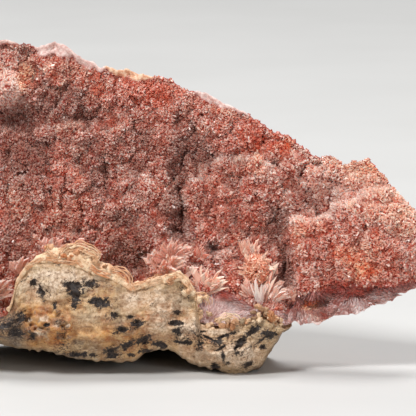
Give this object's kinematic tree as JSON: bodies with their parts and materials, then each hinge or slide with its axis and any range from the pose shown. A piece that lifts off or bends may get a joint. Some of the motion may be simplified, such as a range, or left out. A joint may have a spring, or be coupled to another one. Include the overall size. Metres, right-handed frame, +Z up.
{
  "type": "inesite mineral specimen",
  "caption": "Drusy crust of salmon-pink inesite crystals with sprays of blades on a slab of tan host rock, with a thin cream and orange rind at the lip.",
  "frame": {"origin": "middle of the bounding box, on the plane that the specimen rests on", "axes": "+Z up, +X to the right along the crust, and the crystal face looks towards -Y"},
  "size_m": [0.11, 0.0445, 0.0634],
  "materials": {
    "host_rock": "dull tan rock with black stains and rusty patches",
    "inesite": "sparkling salmon-pink crystals with frosty tips",
    "rind": "dull cream to orange banded crust"
  },
  "bodies": {
    "root": {"host_rock": "host_rock", "inesite_crust": "inesite", "rind": "rind"}
  },
  "joints": []
}
